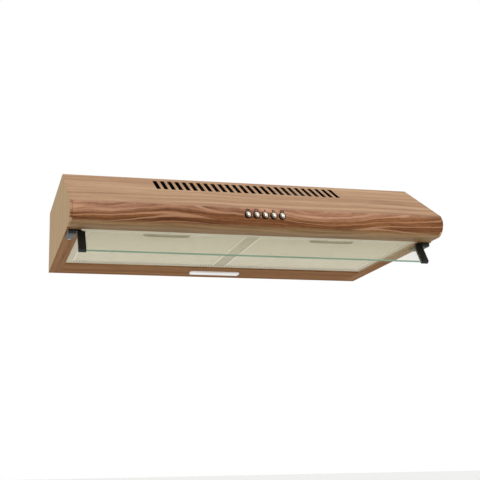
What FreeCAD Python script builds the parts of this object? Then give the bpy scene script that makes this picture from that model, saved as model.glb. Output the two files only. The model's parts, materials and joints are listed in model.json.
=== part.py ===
import FreeCAD, Part
import math
import os
import re
import Sketcher
from FreeCAD import Placement, Rotation, Vector

# Slim under cabinet range hood. Millimetres, +X to the right, +Y to the wall, +Z up.
# The origin is the duct axis on the top panel's outer face, the middle of the four cabinet screws.

SIZES = {
    # casing
    "body_width": 700,
    "body_depth": 490,
    "body_height": 132,
    "duct_setback": 155,
    "top_depth": 319,
    "sheet": 1,
    "edge_strip": 5,
    "side_fold": 9,
    "rail_width": 26,
    "rear_rail": 103,
    "lip_height": 10,
    # front fascia
    "fascia_wall": 2,
    "fascia_depth": 58,
    "fascia_proud": 2,
    "nose_upper": 17,
    "nose_lower": 25,
    "tongue": 12,
    # vent slots
    "slot_count": 26,
    "slot_pitch": 14.2,
    "slot_shift": 1.3,
    "slot_width": 8.4,
    "slot_start": 15,
    "slot_end": 80,
    # cabinet screws and duct
    "cabinet_hole": 5,
    "cabinet_across": 520,
    "cabinet_along": 240,
    "duct_diameter": 120,
    "collar_height": 28,
    "collar_wall": 2,
    "flange_width": 10,
    "collar_screw": 3,
    "flap_level": 12,
    "flap_thickness": 1.5,
    "flap_pin": 3,
    "stop_width": 8,
    "stop_depth": 5,
    "stop_lap": 1.5,
    # buttons
    "button_count": 5,
    "button_pitch": 16,
    "button_diameter": 13.5,
    "button_proud": 3.5,
    "button_depth": 10,
    "button_travel": 3,
    "dome_height": 1.5,
    "dome_inset": 1.8,
    "stem_diameter": 3,
    "spring_room": 6,
    "spring_wire": 0.8,
    "spring_turns": 4,
    "switch_height": 24,
    "switch_depth": 22,
    # grease filters and their tray
    "tray_recess": 3,
    "tray_side": 12,
    "tray_front": 26,
    "tray_rear": 12,
    "divider_width": 22,
    "divider_height": 8,
    "filter_gap": 1,
    "filter_thickness": 9,
    "filter_border": 5,
    "mesh_thickness": 2,
    "filter_pin": 3,
    "pin_inset": 5,
    "pin_rise": 4,
    "ear_height": 8,
    "handle_length": 88,
    "handle_width": 20,
    "handle_inset": 20,
    "handle_wall": 1,
    "latch_width": 22,
    "latch_height": 2.8,
    "latch_rise": 3.4,
    "latch_play": 0.4,
    "latch_coil": 1.4,
    "grip_width": 40,
    "grip_thickness": 3,
    "grip_drop": 2.6,
    "grip_back": 2.5,
    "ear_wall": 1.5,
    # visor
    "visor_reach": 49.5,
    "visor_tilt": 54,
    "visor_setback": 65,
    "pivot_drop": 4.5,
    "pivot_pin": 3.5,
    "glass_thickness": 4,
    "glass_rise": 5,
    "arm_width": 14,
    "arm_thickness": 7,
    "arm_grip": 5,
    "arm_end": 1.5,
    "arm_outset": 19,
    "block_width": 15,
    "block_length": 35,
    "block_height": 8,
    "block_lead": 5,
    "block_chamfer": 1.5,
    "block_slope": 6,
    "block_screw": 3,
    "block_screw_inset": 8,
    "base_length": 70,
    "base_height": 4,
    # lamp
    "lamp_length": 110,
    "lamp_width": 24,
    "lamp_setback": 57,
    "lamp_x": 5,
    "lamp_drop": 4,
    "lamp_corner": 6,
    "lamp_lap": 3,
    "lamp_height": 28,
    "lamp_wall": 2,
    "lamp_margin_x": 8,
    "lamp_margin_y": 7,
    "board_inset": 10,
    "board_thickness": 1.6,
    "driver_x": -150,
    "driver_length": 70,
    "driver_width": 34,
    "driver_height": 22,
    # blower
    "wheel_radius": 75,
    "wheel_height": 50,
    "blade_count": 28,
    "blower_x": 120,
    "blower_y": -55,
    "blower_floor": 74,
    "blower_wall": 2,
    "scroll_start": 91,
    "scroll_step": 8,
    "motor_radius": 42,
    "motor_height": 36,
    "motor_wall": 3,
    "stator_height": 24,
    "rotor_radius": 19,
    "wheel_clearance": 8,
    "shaft_diameter": 8,
    "bearing_wall": 3,
    "bearing_height": 4,
    "arm_span": 85,
    "bracket_wall": 3,
    "inlet_radius": 60,
    "grille_height": 3,
    "charcoal_radius": 66,
    "charcoal_height": 22,
    # wiring
    "box_width": 70,
    "box_depth": 40,
    "box_height": 50,
    "terminal_x": 250,
    "gland_drop": 30,
    "gland_radius": 8,
    "capacitor_radius": 17,
    "capacitor_length": 55,
    # fits
    "running_fit": 0.05,
    "free_gap": 0.5,
}

# Places worked out from the driving sizes: each reads the sheet and the entries above it.
PLACES = {
    "half": "body_width / 2",
    "top_front": "duct_setback - top_depth",
    "nose_front": "duct_setback - body_depth",
    "nose_y": "nose_front + nose_upper",
    "nose_z": "nose_lower - body_height",
    "nose_low_y": "nose_front + nose_lower",
    "fall": "-nose_z",
    "run": "top_front - nose_y",
    "slope_length": "sqrt(run ^ 2 + fall ^ 2 - nose_upper ^ 2)",
    "slope_run": "(run * slope_length + fall * nose_upper) / (run ^ 2 + fall ^ 2)",
    "slope_fall": "(fall * slope_length - run * nose_upper) / (run ^ 2 + fall ^ 2)",
    "crease_y": "top_front - slope_length * slope_run",
    "crease_z": "-slope_length * slope_fall",
    "lip_y": "nose_front + fascia_depth",
    "rail_inside": "half - rail_width",
    "rear_lip": "duct_setback - rear_rail",
    "tray_level": "tray_recess - body_height",
    "window_half": "rail_inside - tray_side",
    "window_front": "lip_y + tray_front",
    "window_rear": "rear_lip - tray_rear",
    "filter_inner": "divider_width / 2 + free_gap * 2",
    "filter_outer": "window_half - free_gap",
    "filter_front": "window_front + filter_gap",
    "filter_rear": "window_rear - filter_gap",
    "filter_width": "filter_outer - filter_inner",
    "filter_middle": "(filter_outer + filter_inner) / 2",
    "filter_length": "filter_rear - filter_front",
    "filter_pin_y": "filter_rear - pin_inset",
    "filter_pin_z": "tray_level + pin_rise",
    "handle_y": "filter_front + handle_inset",
    "pivot_y": "nose_front + visor_setback",
    "pivot_z": "-body_height - pivot_drop",
    "arm_outer": "half - arm_outset",
    "arm_inner": "arm_outer - arm_width",
    "block_inner": "arm_outer + free_gap * 2",
    "lamp_y": "duct_setback - lamp_setback",
    "scroll_right": "scroll_start + 2 * scroll_step",
    "scroll_bottom": "scroll_start + scroll_step",
    "scroll_top": "scroll_start + 3 * scroll_step",
    "chute_left": "-blower_x - duct_diameter / 2",
    "chute_near": "-blower_y - duct_diameter / 2",
    "wheel_floor": "wheel_clearance - blower_floor",
    "block_front": "pivot_y - block_lead",
    "block_middle": "block_inner + block_width / 2",
    "screw_ring": "(inlet_radius + arm_span) / 2",
    "collar_screw_ring": "(duct_diameter + flange_width) / 2",
}

DOCUMENT = FreeCAD.newDocument("range_hood")
SHEET = DOCUMENT.addObject("Spreadsheet::Sheet", "Size")
for row, (alias, value) in enumerate(SIZES.items(), start=1):
    SHEET.set(f"A{row}", alias)
    SHEET.set(f"B{row}", str(value))
    SHEET.setAlias(f"B{row}", alias)
DOCUMENT.recompute()
FIT = DOCUMENT.addObject("App::VarSet", "Fit")
NODES = []


def formula(text):
    """An expression with each size and place written out by the object that holds it."""

    def owner(word):
        if word.group() in SIZES:
            return "Size." + word.group()
        return "Fit." + word.group() if word.group() in PLACES else word.group()

    return re.sub(r"[a-z_]+", owner, str(text))


for place_name, place_formula in PLACES.items():
    FIT.addProperty("App::PropertyFloat", place_name, "places")
    FIT.setExpression(place_name, formula(place_formula))
    DOCUMENT.recompute()


def number(text):
    """What an expression gives now."""
    return float(SHEET.evalExpression(formula(text)))


def bind(item, **formulas):
    """Tie properties to expressions; a double underscore stands for a dot."""
    for name, text in formulas.items():
        item.setExpression(name.replace("__", "."), formula(text))


def place(item, x=0, y=0, z=0, turn=None):
    """Put an object at a place given by expressions, turned by a fixed rotation."""
    if turn is not None:
        item.Placement = Placement(Vector(0, 0, 0), turn)
    bind(item, Placement__Base__x=x, Placement__Base__y=y, Placement__Base__z=z)


def node(label, item):
    """Name a finished sub-part."""
    item.Label = label
    NODES.append(item)
    return item


# ---- sketches and features ----

ALONG = {
    "x": Rotation(Vector(0, 1, 0), 90),
    "y": Rotation(Vector(1, 0, 0), -90),
    "z": Rotation(),
}


def new_body(label):
    return node(label, DOCUMENT.addObject("PartDesign::Body", label))


def new_sketch(body, role, shift):
    plane = next(item for item in body.Origin.OriginFeatures if item.Role == role)
    sketch = body.newObject("Sketcher::SketchObject", "Sketch")
    sketch.AttachmentSupport = (plane, "")
    sketch.MapMode = "FlatFace"
    bind(sketch, AttachmentOffset__Base__z=shift)
    return sketch


def hold(sketch, kind, *where, formula_text):
    index = sketch.addConstraint(Sketcher.Constraint(kind, *where, number(formula_text)))
    bind(sketch, **{f"Constraints[{index}]": formula_text})


def arc_between(start, end, radius):
    """The short arc from start to end, to the left of its chord's middle when radius is positive."""
    chord = end - start
    side = Vector(-chord.y, chord.x, 0).normalize()
    depth = math.sqrt(max(radius**2 - (chord.Length / 2) ** 2, 0))
    centre = (start + end) / 2 + side * math.copysign(depth, radius)
    bulge = centre - side * radius
    return Part.Arc(start, bulge, end)


def outline(body, role, path, shift=0):
    """A closed sketch through the points of path; a third value is the radius of the arc that arrives."""
    sketch = new_sketch(body, role, shift)
    points = [Vector(number(entry[0]), number(entry[1]), 0) for entry in path]
    ends = []
    for index, entry in enumerate(path):
        start = points[index - 1]
        end = points[index]
        if len(entry) == 2:
            sketch.addGeometry(Part.LineSegment(start, end))
            ends.append((1, 2))
            continue
        sketch.addGeometry(arc_between(start, end, number(entry[2])))
        forward = (sketch.getPoint(index, 1) - start).Length < (sketch.getPoint(index, 2) - start).Length
        ends.append((1, 2) if forward else (2, 1))
    for index, entry in enumerate(path):
        after = (index + 1) % len(path)
        sketch.addConstraint(Sketcher.Constraint("Coincident", index, ends[index][1], after, ends[after][0]))
        hold(sketch, "DistanceX", index, ends[index][1], formula_text=entry[0])
        hold(sketch, "DistanceY", index, ends[index][1], formula_text=entry[1])
        if len(entry) == 3:
            hold(sketch, "Radius", index, formula_text=f"abs({entry[2]})")
    return sketch


def circles(body, role, rounds, shift=0):
    """A sketch of full circles, each (across, up, radius)."""
    sketch = new_sketch(body, role, shift)
    for index, (across, up, radius) in enumerate(rounds):
        centre = Vector(number(across), number(up), 0)
        sketch.addGeometry(Part.Circle(centre, Vector(0, 0, 1), number(radius)))
        hold(sketch, "DistanceX", index, 3, formula_text=across)
        hold(sketch, "DistanceY", index, 3, formula_text=up)
        hold(sketch, "Radius", index, formula_text=radius)
    return sketch


def rectangle(left, low, right, high):
    return [(left, low), (right, low), (right, high), (left, high)]


def pad(body, sketch, length, midplane=False, back=False):
    feature = body.newObject("PartDesign::Pad", "Pad")
    feature.Profile = sketch
    bind(feature, Length=length)
    feature.Midplane = midplane
    feature.Reversed = back
    DOCUMENT.recompute()
    return feature


def cut_through(body, sketch):
    """A pocket through everything on both sides, which must take material away."""
    before = body.Shape.Volume
    feature = body.newObject("PartDesign::Pocket", "Pocket")
    feature.Profile = sketch
    feature.Type = "ThroughAll"
    feature.Midplane = True
    DOCUMENT.recompute()
    if feature.Shape.Volume > before - 0.01:
        raise ValueError(f"{body.Label}: a pocket cut nothing")
    return feature


def repeat_along_x(body, feature, count, pitch):
    pattern = body.newObject("PartDesign::LinearPattern", "Row")
    pattern.Originals = [feature]
    pattern.Direction = (body.Origin.OriginFeatures[0], [""])
    bind(pattern, Length=f"({count} - 1) * {pitch}", Occurrences=count)
    body.Tip = pattern
    DOCUMENT.recompute()


def repeat_around_z(body, features, count):
    pattern = body.newObject("PartDesign::PolarPattern", "Ring")
    pattern.Originals = features
    pattern.Axis = (body.Origin.OriginFeatures[2], [""])
    pattern.Angle = 360
    bind(pattern, Occurrences=count)
    body.Tip = pattern
    DOCUMENT.recompute()


# ---- plain solids and booleans ----


def block(width, depth, height, x, y, z):
    """A box centred on x and y, standing on z."""
    item = DOCUMENT.addObject("Part::Box", "Block")
    bind(item, Length=width, Width=depth, Height=height)
    place(item, f"({x}) - ({width}) / 2", f"({y}) - ({depth}) / 2", z)
    return item


def drum(radius, length, x=0, y=0, z=0, along="z"):
    """A cylinder from x, y, z towards plus along."""
    item = DOCUMENT.addObject("Part::Cylinder", "Drum")
    bind(item, Radius=radius, Height=length)
    place(item, x, y, z, ALONG[along])
    return item


def joined(*items):
    whole = DOCUMENT.addObject("Part::MultiFuse", "Joined")
    whole.Shapes = list(items)
    whole.Refine = True
    return whole


def less(base, *tools):
    """The base with the tools cut out of it."""
    result = DOCUMENT.addObject("Part::Cut", "Less")
    result.Base = base
    result.Tool = tools[0] if len(tools) == 1 else joined(*tools)
    result.Refine = True
    return result


def group(*items):
    """Separate solids that share one node."""
    whole = DOCUMENT.addObject("Part::Compound", "Group")
    whole.Links = list(items)
    return whole


def screw(radius, length, head, x, y, z, turn=Rotation()):
    """A pan head screw: its head's underside is at x, y, z and the shank goes down before the turn."""
    shank = DOCUMENT.addObject("Part::Cylinder", "Shank")
    bind(shank, Radius=radius, Height=length, Placement__Base__z=f"-({length})")
    cap = DOCUMENT.addObject("Part::Cylinder", "Head")
    bind(cap, Radius=f"({radius}) * 1.9", Height=head)
    whole = joined(shank, cap)
    place(whole, x, y, z, turn)
    return whole


def spring(radius, wire, length, turns, x, y, z):
    """A round wire coil that starts at x, y, z and runs towards +Y."""
    helix = DOCUMENT.addObject("Part::Helix", "Coil")
    bind(helix, Radius=radius, Pitch=f"({length} - {wire}) / {turns}", Height=f"{length} - {wire}")
    section = DOCUMENT.addObject("Part::Circle", "Wire")
    section.Placement = Placement(Vector(0, 0, 0), Rotation(Vector(1, 0, 0), 90))
    bind(section, Radius=f"({wire}) / 2", Placement__Base__x=radius)
    coil = DOCUMENT.addObject("Part::Sweep", "Spring")
    coil.Sections = [section]
    coil.Spine = (helix, ["Edge1"])
    coil.Solid = True
    coil.Frenet = True
    place(coil, x, f"({y}) + ({wire}) / 2", z, ALONG["y"])
    return coil


def on_slope(up, depth):
    """A point that far up the slope from the crease and that deep below its face."""
    across = f"crease_y + ({up}) * slope_run + ({depth}) * slope_fall"
    height = f"crease_z + ({up}) * slope_fall - ({depth}) * slope_run"
    return across, height


def top_line(depth):
    """The bend between the flat top and the slope, at a depth below the face."""
    return f"top_front + ({depth}) * (1 - slope_run) / slope_fall", f"-({depth})"


# ---- casing ----


def collar_screw_at(x, y):
    """A collar screw's place on the diagonal of its quarter."""
    return f"{x} * collar_screw_ring * sqrt(0.5)", f"{y} * collar_screw_ring * sqrt(0.5)"


def top_shell():
    body = new_body("top_shell")
    face = [("duct_setback", 0), top_line(0), on_slope(0, 0)]
    under = [on_slope(0, "sheet"), top_line("sheet"), ("duct_setback", "-sheet")]
    pad(body, outline(body, "YZ_Plane", face + under), "body_width - 2 * edge_strip", midplane=True)
    rear = "duct_setback - tongue - sheet"
    fold = [(rear, "-sheet / 2"), top_line("sheet / 2"), on_slope("tongue + 1", "sheet / 2")]
    fold += [on_slope("tongue + 1", "side_fold"), top_line("side_fold"), (rear, "-side_fold")]
    for side in (1, -1):
        edge = f"{side} * (half - edge_strip)"
        pad(body, outline(body, "YZ_Plane", fold, edge), "sheet", back=side > 0)
    holes = [(0, 0, "duct_diameter / 2 - collar_wall")]
    for x in (-1, 1):
        for y in (-1, 1):
            holes.append((f"{x} * cabinet_across / 2", f"{y} * cabinet_along / 2", "cabinet_hole / 2"))
            holes.append((*collar_screw_at(x, y), "collar_screw / 2"))
    cut_through(body, circles(body, "XY_Plane", holes))
    first = "slot_shift - (slot_count - 1) * slot_pitch / 2"
    near = "top_front - slot_start * slope_run"
    far = "top_front - slot_end * slope_run"
    slot = rectangle(f"{first} - slot_width / 2", far, f"{first} + slot_width / 2", near)
    repeat_along_x(body, cut_through(body, outline(body, "XY_Plane", slot)), "slot_count", "slot_pitch")


def back_panel():
    body = new_body("back_panel")
    low = "sheet - body_height"
    path = [("duct_setback", "-sheet"), ("duct_setback", low), ("duct_setback - tongue", low)]
    path += [("duct_setback - tongue", f"{low} + sheet"), ("duct_setback - sheet", f"{low} + sheet")]
    path += [("duct_setback - sheet", "-2 * sheet"), ("duct_setback - tongue", "-2 * sheet")]
    path += [("duct_setback - tongue", "-sheet")]
    pad(body, outline(body, "YZ_Plane", path), "body_width - 2 * sheet", midplane=True)
    entry = ("terminal_x", "-gland_drop", "gland_radius + running_fit * 2")
    cut_through(body, circles(body, "XZ_Plane", [entry]))


def side_outline(inset):
    """The end view of the casing beside the fascia, drawn in from the front by an inset."""
    return [
        ("duct_setback", f"-({inset})"),
        top_line(inset),
        on_slope(0, inset),
        on_slope(0, f"fascia_proud + ({inset})"),
        (f"nose_front + fascia_proud + ({inset})", "nose_z", f"nose_upper - fascia_proud - ({inset})"),
        ("nose_low_y", f"fascia_proud + ({inset}) - body_height", f"nose_lower - fascia_proud - ({inset})"),
        ("lip_y", f"fascia_proud + ({inset}) - body_height"),
        ("lip_y", f"({inset}) - body_height"),
        ("duct_setback", f"({inset}) - body_height"),
    ]


def side_panel(label, side):
    """A flat side with a rolled strip round its top and front, a bottom rail and the rail's lip."""
    body = new_body(label)
    edge = f"{side} * half"
    pad(body, outline(body, "YZ_Plane", side_outline(0), edge), "sheet", back=side > 0)
    outer = side_outline(0)[:-2]
    inner = side_outline("sheet")[:-2]
    strip = outer + [
        inner[6],
        inner[5][:2],
        (*inner[4][:2], "-(nose_lower - fascia_proud - sheet)"),
        (*inner[3][:2], "-(nose_upper - fascia_proud - sheet)"),
        inner[1],
        inner[0],
    ]
    pad(body, outline(body, "YZ_Plane", strip, edge), "edge_strip", back=side > 0)
    rail = rectangle("lip_y", "-body_height", "duct_setback", "sheet - body_height")
    pad(body, outline(body, "YZ_Plane", rail, edge), "rail_width", back=side > 0)
    lip = rectangle("lip_y", "-body_height", "duct_setback - tongue - sheet", "lip_height - body_height")
    pad(body, outline(body, "YZ_Plane", lip, f"{side} * rail_inside"), "sheet", back=side < 0)
    cut_through(body, circles(body, "XY_Plane", block_screw_holes(side)))


def block_screw_holes(side):
    """The two screws of a visor block, through its thin base and the rail."""
    x = f"{side} * block_middle"
    near = "block_front + block_length + block_screw_inset"
    far = "block_front + base_length - block_screw_inset"
    return [(x, near, "block_screw / 2"), (x, far, "block_screw / 2")]


def front_fascia():
    body = new_body("front_fascia")
    upper = "nose_upper - fascia_wall"
    lower = "nose_lower - fascia_wall"
    path = [
        on_slope(0, 0),
        ("nose_front", "nose_z", "nose_upper"),
        ("nose_low_y", "-body_height", "nose_lower"),
        ("lip_y", "-body_height"),
        ("lip_y", "lip_height - body_height"),
        ("lip_y - fascia_wall", "lip_height - body_height"),
        ("lip_y - fascia_wall", "fascia_wall - body_height"),
        ("nose_low_y", "fascia_wall - body_height"),
        ("nose_front + fascia_wall", "nose_z", f"-({lower})"),
        (*on_slope(0, "fascia_wall"), f"-({upper})"),
        on_slope("tongue", "fascia_wall"),
        on_slope("tongue", "sheet"),
        on_slope(0, "sheet"),
    ]
    pad(body, outline(body, "YZ_Plane", path), "body_width - 2 * edge_strip", midplane=True)
    first = "-(button_count - 1) * button_pitch / 2"
    hole = circles(body, "XZ_Plane", [(first, "nose_z", "button_diameter / 2 + free_gap / 2")])
    repeat_along_x(body, cut_through(body, hole), "button_count", "button_pitch")


def rear_bottom_panel():
    body = new_body("rear_bottom_panel")
    path = [("duct_setback", "-body_height"), ("duct_setback", "sheet - body_height")]
    path += [("rear_lip + sheet", "sheet - body_height"), ("rear_lip + sheet", "lip_height - body_height")]
    path += [("rear_lip", "lip_height - body_height"), ("rear_lip", "-body_height")]
    pad(body, outline(body, "YZ_Plane", path), "2 * rail_inside", midplane=True)
    wide = "(lamp_length / 2 - lamp_lap + running_fit * 2)"
    deep = "(lamp_width / 2 - lamp_lap + running_fit * 2)"
    opening = rectangle(f"lamp_x - {wide}", f"lamp_y - {deep}", f"lamp_x + {wide}", f"lamp_y + {deep}")
    cut_through(body, outline(body, "XY_Plane", opening))


# ---- duct collar ----


def duct_collar():
    """The spigot a duct slides over, its screws, and the pin that its two flaps hang on."""
    outer = "duct_diameter / 2"
    inner = "duct_diameter / 2 - collar_wall"
    tube = drum(outer, "collar_height")
    rim = drum("duct_diameter / 2 + flange_width", "collar_wall")
    stops = []
    for side in (1, -1):
        height = "flap_level - flap_thickness / 2 - free_gap / 2"
        y = f"{side} * (duct_diameter / 2 - collar_wall - stop_lap)"
        stops.append(block("stop_width", "stop_depth", height, 0, y, 0))
    wall = joined(less(joined(tube, rim), drum(inner, "collar_height + 2", z=-1)), *stops)
    bores = drum("flap_pin / 2", "duct_diameter + 2", x="-duct_diameter / 2 - 1", z="flap_level", along="x")
    corners = [collar_screw_at(x, y) for x in (-1, 1) for y in (-1, 1)]
    holes = [drum("collar_screw / 2", "collar_wall + 2", *corner, -1) for corner in corners]
    node("duct_collar", less(wall, bores, *holes))
    grip = "collar_wall + sheet + blower_wall"
    screws = [screw("collar_screw / 2", grip, 1.8, *corner, "collar_wall") for corner in corners]
    node("collar_screws", group(*screws))
    node("flap_pin", drum("flap_pin / 2", "duct_diameter", x="-duct_diameter / 2", z="flap_level", along="x"))


def duct_flap(label, side):
    """A half disc level with the pin, on two knuckles that sit beside the other flap's knuckles."""
    level = "flap_level - flap_thickness / 2"
    knuckle = "flap_pin / 2 + 1.5"
    disc = drum("duct_diameter / 2 - collar_wall - 2 * free_gap", "flap_thickness", z=level)
    strip = f"({knuckle} + free_gap)"
    reach = f"{side} * ({strip} + duct_diameter / 4)"
    far = block("duct_diameter", "duct_diameter / 2", "flap_thickness", 0, reach, level)
    half = DOCUMENT.addObject("Part::Common", "Half")
    half.Base = disc
    half.Tool = far
    knuckles = []
    for x in (-40, 0):
        start = x + 20 * (side > 0)
        knuckles.append(drum(knuckle, 18, start, 0, "flap_level", "x"))
        web = f"{side} * ({strip} + 1) / 2"
        knuckles.append(block(18, f"{strip} + 1", "flap_thickness", start + 9, web, level))
    bore = drum("flap_pin / 2 + running_fit", "duct_diameter", "-duct_diameter / 2", 0, "flap_level", "x")
    node(label, less(joined(half, *knuckles), bore))


# ---- push buttons ----


def buttons():
    """Round caps with a bevelled face on stems that slide in the switch bank, each with a spring."""
    springs = []
    holes = []
    radius = "button_diameter / 2"
    back = "nose_front + button_depth"
    bank = f"{back} + button_travel + spring_room"
    for index in range(int(SIZES["button_count"])):
        x = f"({index} - (button_count - 1) / 2) * button_pitch"
        face = "nose_front - button_proud"
        cap_length = "button_depth + button_proud - dome_height"
        cap = drum(radius, cap_length, x, f"{face} + dome_height", "nose_z", "y")
        dome = DOCUMENT.addObject("Part::Cone", "Dome")
        bind(dome, Radius1=f"{radius} - dome_inset", Radius2=radius, Height="dome_height")
        place(dome, x, face, "nose_z", ALONG["y"])
        stem = drum("stem_diameter / 2", "button_travel + spring_room + 8", x, back, "nose_z", "y")
        node(f"button_{index + 1}", joined(cap, dome, stem))
        coil = "stem_diameter / 2 + spring_wire / 2 + free_gap / 2"
        length = "button_travel + spring_room"
        springs.append(spring(coil, "spring_wire", length, "spring_turns", x, back, "nose_z"))
        hole = drum("stem_diameter / 2 + running_fit", "switch_depth - 2", x, f"{bank} - 1", "nose_z", "y")
        holes.append(hole)
    node("button_springs", group(*springs))
    width = "button_count * button_pitch + 10"
    middle = f"{bank} + switch_depth / 2"
    case = block(width, "switch_depth", "switch_height", 0, middle, "nose_z - switch_height / 2")
    node("switch_bank", less(case, *holes))


# ---- filter tray, filters and latches ----


def filter_tray():
    width = "2 * rail_inside"
    length = "rear_lip - lip_y"
    middle = "(rear_lip + lip_y) / 2"
    pan = block(width, length, "lip_height - tray_recess", 0, middle, "tray_level")
    inner = (f"{width} - 2 * sheet", f"{length} - 2 * sheet")
    hollow = block(*inner, "lip_height", 0, middle, "tray_level + sheet")
    opening = "window_rear - window_front"
    centre = "(window_rear + window_front) / 2"
    window = block("2 * window_half", opening, "sheet + 4", 0, centre, "tray_level - 2")
    node("filter_tray", less(pan, hollow, window))


def centre_divider():
    """A channel between the filters whose floor runs on under the inner hinge ears."""
    front = "window_front - 10"
    rear = "filter_pin_y - pin_inset - 1"
    end = "rear_lip - sheet"
    floor = "tray_level + sheet"
    length = f"({rear}) - ({front})"
    middle = f"(({rear}) + ({front})) / 2"
    bar = block("divider_width", length, "divider_height", 0, middle, floor)
    inner = ("divider_width - 2 * sheet", f"{length} + 2")
    hollow = block(*inner, "divider_height", 0, middle, f"{floor} + sheet")
    plate = block("divider_width", f"{end} - ({front})", "sheet", 0, f"({end} + ({front})) / 2", floor)
    node("centre_divider", joined(less(bar, hollow), plate))


def hinge_ears():
    """Four ears that carry the filters' pins: two stand on the tray and two on the divider's floor."""
    ears = []
    depth = "rear_lip - sheet - filter_pin_y + 4"
    middle = f"filter_pin_y - 4 + ({depth}) / 2"
    outer = ("filter_outer + free_gap + ear_wall / 2", "tray_level + sheet")
    inner = ("filter_inner - free_gap * 2 - ear_wall", "tray_level + 2 * sheet")
    for x, floor in (outer, inner):
        for side in (1, -1):
            ear = block("ear_wall", depth, "ear_height", f"{side} * ({x})", middle, floor)
            start = f"{side} * ({x}) - ear_wall"
            bore = ("filter_pin / 2 + running_fit", "2 * ear_wall")
            hole = drum(*bore, start, "filter_pin_y", "filter_pin_z", "x")
            ears.append(less(ear, hole))
    node("filter_hinge_ears", group(*ears))


def filter_cassette(name, side):
    """One grease filter: its frame, mesh, handle cup, latch with its spring, and hinge pins."""
    x = f"{side} * filter_middle"
    y = "(filter_front + filter_rear) / 2"
    floor = "tray_level"
    opening = ("filter_width - 2 * filter_border", "filter_length - 2 * filter_border")
    inner = ("filter_width - 2 * sheet", "filter_length - 2 * sheet")
    mouth_size = ("latch_width + 2", "handle_inset - 2", "latch_height + 2 * latch_play")
    mouth_floor = f"{floor} + latch_rise - latch_play"
    outer = block("filter_width", "filter_length", "filter_thickness", x, y, floor)
    window = block(*opening, "filter_thickness + 2", x, y, f"{floor} - 1")
    groove = block(*inner, "filter_thickness - 2 * sheet", x, y, f"{floor} + sheet")
    slot = block(*mouth_size, x, "filter_front", mouth_floor)
    node(f"filter_frame_{name}", less(outer, window, groove, slot))
    mat = block(*inner, "mesh_thickness", x, y, f"{floor} + sheet")
    cup_hole = pill("handle_length", "handle_width", "filter_thickness + 2", x, "handle_y", f"{floor} - 1")
    node(f"filter_mesh_{name}", less(mat, cup_hole))
    cup = pill("handle_length", "handle_width", "filter_thickness", x, "handle_y", floor)
    cup_size = ("handle_length - 2 * handle_wall", "handle_width - 2 * handle_wall", "filter_thickness")
    inside = pill(*cup_size, x, "handle_y", f"{floor} - handle_wall")
    mouth = block(*mouth_size, x, "handle_y - handle_width / 2", mouth_floor)
    node(f"filter_handle_{name}", less(cup, inside, mouth))
    bolt_start = "filter_front - free_gap"
    bolt_end = "handle_y + 1"
    bolt_size = ("latch_width", f"{bolt_end} - ({bolt_start})", "latch_height")
    bolt = block(*bolt_size, x, f"({bolt_start} + {bolt_end}) / 2", f"{floor} + latch_rise")
    grip_size = ("grip_width", "grip_thickness", "latch_height + grip_drop")
    grip = block(*grip_size, x, "handle_y - grip_back", f"{floor} + latch_rise - grip_drop")
    node(f"filter_latch_{name}", joined(bolt, grip))
    coil_length = "handle_width / 2 - handle_wall - 1"
    coil_level = f"{floor} + latch_rise + latch_height / 2"
    coil_shape = ("latch_coil", "spring_wire * 0.75", coil_length, "spring_turns")
    coil = spring(*coil_shape, x, "handle_y + 1", coil_level)
    node(f"latch_spring_{name}", coil)
    inner_end = "filter_inner - free_gap * 2 - ear_wall * 1.5"
    outer_end = "filter_outer + free_gap + ear_wall"
    pins = []
    for start, end in ((inner_end, "filter_inner"), ("filter_outer", outer_end)):
        left = start if side > 0 else f"-({end})"
        pins.append(drum("filter_pin / 2", f"{end} - ({start})", left, "filter_pin_y", "filter_pin_z", "x"))
    node(f"filter_pins_{name}", group(*pins))


def rounded(length, width, corner, height, x, y, z):
    """An upright solid with a rectangular outline and four round corners."""
    long_bar = block(length, f"({width}) - 2 * {corner}", height, x, y, z)
    wide_bar = block(f"({length}) - 2 * {corner}", width, height, x, y, z)
    posts = []
    for side in (-1, 1):
        across = f"{x} + {side} * (({length}) / 2 - {corner})"
        for end in (-1, 1):
            posts.append(drum(corner, height, across, f"{y} + {end} * (({width}) / 2 - {corner})", z))
    return joined(long_bar, wide_bar, *posts)


def pill(length, width, height, x, y, z):
    """An upright solid with a round-ended long outline."""
    bar = block(f"({length}) - ({width})", width, height, x, y, z)
    reach = f"(({length}) - ({width})) / 2"
    ends = [drum(f"({width}) / 2", height, f"({x}) + {side} * {reach}", y, z) for side in (-1, 1)]
    return joined(bar, *ends)


# ---- visor ----


def lean(item):
    """Put a piece drawn level, with its pivot at the origin, at the visor's leaning rest."""
    bind(item, Placement__Base__y="pivot_y", Placement__Base__z="pivot_z")
    item.Placement.Rotation = Rotation(Vector(1, 0, 0), number("visor_tilt"))
    bind(item, Placement__Rotation__Angle="visor_tilt")
    return item


def visor_glass():
    """The pane runs from just above the pivots nearly to the arms' ends."""
    length = "visor_reach - arm_end + glass_rise"
    middle = "(glass_rise + arm_end - visor_reach) / 2"
    width = "2 * (arm_inner + arm_grip)"
    glass = block(width, length, "glass_thickness", 0, middle, "-glass_thickness / 2")
    node("visor_glass", lean(group(glass)))


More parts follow.
